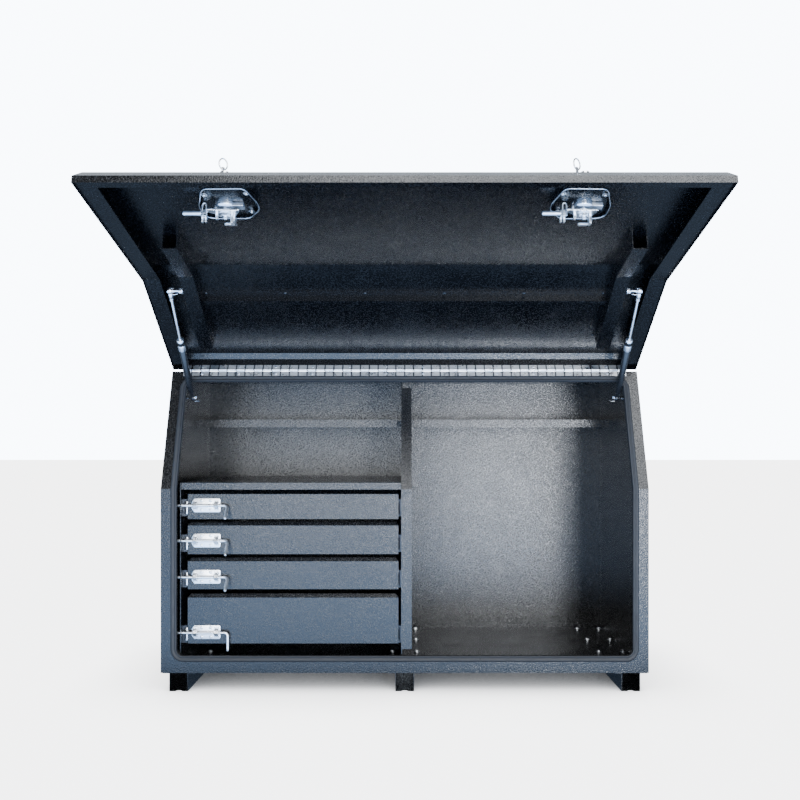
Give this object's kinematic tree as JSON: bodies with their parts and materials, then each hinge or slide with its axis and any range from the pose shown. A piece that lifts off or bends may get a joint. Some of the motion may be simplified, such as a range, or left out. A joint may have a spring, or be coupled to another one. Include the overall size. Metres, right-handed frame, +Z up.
{
  "type": "tool box",
  "caption": "Wide steel tool box with a cranked top-hinged door held open by gas struts, a bank of bolted drawers, shelves and three channel feet.",
  "frame": {"origin": "on the ground under the middle foot, in the middle of the box", "axes": "+X to the right seen from the front, the front faces -Y, +Z up"},
  "size_m": [1.3, 1.2496, 1.2803],
  "materials": {
    "powder_coat": "textured black powder coat",
    "zinc_plate": "bright zinc plate",
    "rubber": "matt black bulb seal",
    "chrome": "polished",
    "strut_black": "satin black paint",
    "satin_steel": "satin stainless"
  },
  "bodies": {
    "box": {"floor_panel": "powder_coat", "back_panel": "powder_coat", "roof_panel": "powder_coat", "left_end_panel": "powder_coat", "right_end_panel": "powder_coat", "front_sill": "powder_coat", "door_seal": "rubber", "divider": "powder_coat", "cabinet_side": "powder_coat", "cabinet_top": "powder_coat", "left_shelf": "powder_coat", "right_shelf": "powder_coat", "shelf_brackets": "powder_coat", "left_foot": "powder_coat", "middle_foot": "powder_coat", "right_foot": "powder_coat", "foot_bolts": "zinc_plate", "hinge_body_leaf": "zinc_plate", "hinge_pin": "zinc_plate", "hinge_body_rivets": "zinc_plate", "strut_body_studs": "chrome", "slide_outer_rails": "zinc_plate"},
    "door": {"door_skin": "powder_coat", "door_rim": "powder_coat", "door_plate": "powder_coat", "door_left_channel": "powder_coat", "door_right_channel": "powder_coat", "door_cross_rail": "powder_coat", "door_rivets": "zinc_plate", "hinge_door_leaf": "zinc_plate", "strut_door_studs": "chrome", "left_latch_housing": "satin_steel", "right_latch_housing": "satin_steel", "latch_clamps": "powder_coat"},
    "left_tube": {"left_strut_tube": "strut_black"},
    "left_rod": {"left_strut_rod": "chrome"},
    "left_cam": {"left_latch_cam": "zinc_plate"},
    "left_handle": {"left_latch_handle": "chrome"},
    "left_key": {"left_latch_key": "chrome"},
    "right_tube": {"right_strut_tube": "strut_black"},
    "right_rod": {"right_strut_rod": "chrome"},
    "right_cam": {"right_latch_cam": "zinc_plate"},
    "right_handle": {"right_latch_handle": "chrome"},
    "right_key": {"right_latch_key": "chrome"},
    "drawer_1": {"drawer_1": "powder_coat", "drawer_1_hardware": "zinc_plate"},
    "slide_1": {"drawer_1_slide_middles": "zinc_plate"},
    "bolt_1": {"drawer_1_bolt": "zinc_plate"},
    "drawer_2": {"drawer_2": "powder_coat", "drawer_2_hardware": "zinc_plate"},
    "slide_2": {"drawer_2_slide_middles": "zinc_plate"},
    "bolt_2": {"drawer_2_bolt": "zinc_plate"},
    "drawer_3": {"drawer_3": "powder_coat", "drawer_3_hardware": "zinc_plate"},
    "slide_3": {"drawer_3_slide_middles": "zinc_plate"},
    "bolt_3": {"drawer_3_bolt": "zinc_plate"},
    "drawer_4": {"drawer_4": "powder_coat", "drawer_4_hardware": "zinc_plate"},
    "slide_4": {"drawer_4_slide_middles": "zinc_plate"},
    "bolt_4": {"drawer_4_bolt": "zinc_plate"}
  },
  "joints": [
    {"name": "door_hinge", "type": "hinge", "parent": "box", "child": "door", "pos_m": [0, -0.17874, 0.86687], "axis": [-1, 0, 0], "range_deg": [-102.25, 0]},
    {"name": "left_strut_swing", "type": "hinge", "parent": "box", "child": "left_tube", "pos_m": [-0.595, -0.17, 0.789], "axis": [-1, 0, 0], "range_deg": [-101.56, 0]},
    {"name": "left_strut_stroke", "type": "slide", "parent": "left_tube", "child": "left_rod", "axis": [0, -0.6934, 0.7205], "range_m": [-0.12201, 0]},
    {"name": "left_latch_turn", "type": "hinge", "parent": "door", "child": "left_cam", "pos_m": [-0.382, -0.78417, 1.12241], "axis": [0, 0.2122, 0.9772], "range_deg": [0, 90]},
    {"name": "left_handle_push", "type": "slide", "parent": "left_cam", "child": "left_handle", "axis": [0, 0.2122, 0.9772], "range_m": [-0.03, 0]},
    {"name": "left_key_turn", "type": "hinge", "parent": "left_handle", "child": "left_key", "pos_m": [-0.392, -0.78417, 1.12241], "axis": [0, 0.2122, 0.9772], "range_deg": [0, 90]},
    {"name": "right_strut_swing", "type": "hinge", "parent": "box", "child": "right_tube", "pos_m": [0.595, -0.17, 0.789], "axis": [-1, 0, 0], "range_deg": [-101.56, 0]},
    {"name": "right_strut_stroke", "type": "slide", "parent": "right_tube", "child": "right_rod", "axis": [0, -0.6934, 0.7205], "range_m": [-0.12201, 0]},
    {"name": "right_latch_turn", "type": "hinge", "parent": "door", "child": "right_cam", "pos_m": [0.382, -0.78417, 1.12241], "axis": [0, 0.2122, 0.9772], "range_deg": [0, 90]},
    {"name": "right_handle_push", "type": "slide", "parent": "right_cam", "child": "right_handle", "axis": [0, 0.2122, 0.9772], "range_m": [-0.03, 0]},
    {"name": "right_key_turn", "type": "hinge", "parent": "right_handle", "child": "right_key", "pos_m": [0.372, -0.78417, 1.12241], "axis": [0, 0.2122, 0.9772], "range_deg": [0, 90]},
    {"name": "drawer_1_pull", "type": "slide", "parent": "box", "child": "drawer_1", "axis": [0, -1, 0], "range_m": [0, 0.4]},
    {"name": "slide_1_travel", "type": "slide", "parent": "box", "child": "slide_1", "axis": [0, -1, 0], "range_m": [0, 0.2]},
    {"name": "drawer_bolt_1_draw", "type": "slide", "parent": "drawer_1", "child": "bolt_1", "axis": [1, 0, 0], "range_m": [0, 0.02]},
    {"name": "drawer_2_pull", "type": "slide", "parent": "box", "child": "drawer_2", "axis": [0, -1, 0], "range_m": [0, 0.4]},
    {"name": "slide_2_travel", "type": "slide", "parent": "box", "child": "slide_2", "axis": [0, -1, 0], "range_m": [0, 0.2]},
    {"name": "drawer_bolt_2_draw", "type": "slide", "parent": "drawer_2", "child": "bolt_2", "axis": [1, 0, 0], "range_m": [0, 0.02]},
    {"name": "drawer_3_pull", "type": "slide", "parent": "box", "child": "drawer_3", "axis": [0, -1, 0], "range_m": [0, 0.4]},
    {"name": "slide_3_travel", "type": "slide", "parent": "box", "child": "slide_3", "axis": [0, -1, 0], "range_m": [0, 0.2]},
    {"name": "drawer_bolt_3_draw", "type": "slide", "parent": "drawer_3", "child": "bolt_3", "axis": [1, 0, 0], "range_m": [0, 0.02]},
    {"name": "drawer_4_pull", "type": "slide", "parent": "box", "child": "drawer_4", "axis": [0, -1, 0], "range_m": [0, 0.4]},
    {"name": "slide_4_travel", "type": "slide", "parent": "box", "child": "slide_4", "axis": [0, -1, 0], "range_m": [0, 0.2]},
    {"name": "drawer_bolt_4_draw", "type": "slide", "parent": "drawer_4", "child": "bolt_4", "axis": [1, 0, 0], "range_m": [0, 0.02]}
  ],
  "couplings": [
    {"joint": "left_strut_swing", "follows": "door_hinge", "ratio": 0.99304},
    {"joint": "left_strut_stroke", "follows": "door_hinge", "m_per_rad": 0.068338},
    {"joint": "right_strut_swing", "follows": "door_hinge", "ratio": 0.99304},
    {"joint": "right_strut_stroke", "follows": "door_hinge", "m_per_rad": 0.068338},
    {"joint": "slide_1_travel", "follows": "drawer_1_pull", "ratio": 0.5},
    {"joint": "slide_2_travel", "follows": "drawer_2_pull", "ratio": 0.5},
    {"joint": "slide_3_travel", "follows": "drawer_3_pull", "ratio": 0.5},
    {"joint": "slide_4_travel", "follows": "drawer_4_pull", "ratio": 0.5}
  ]
}
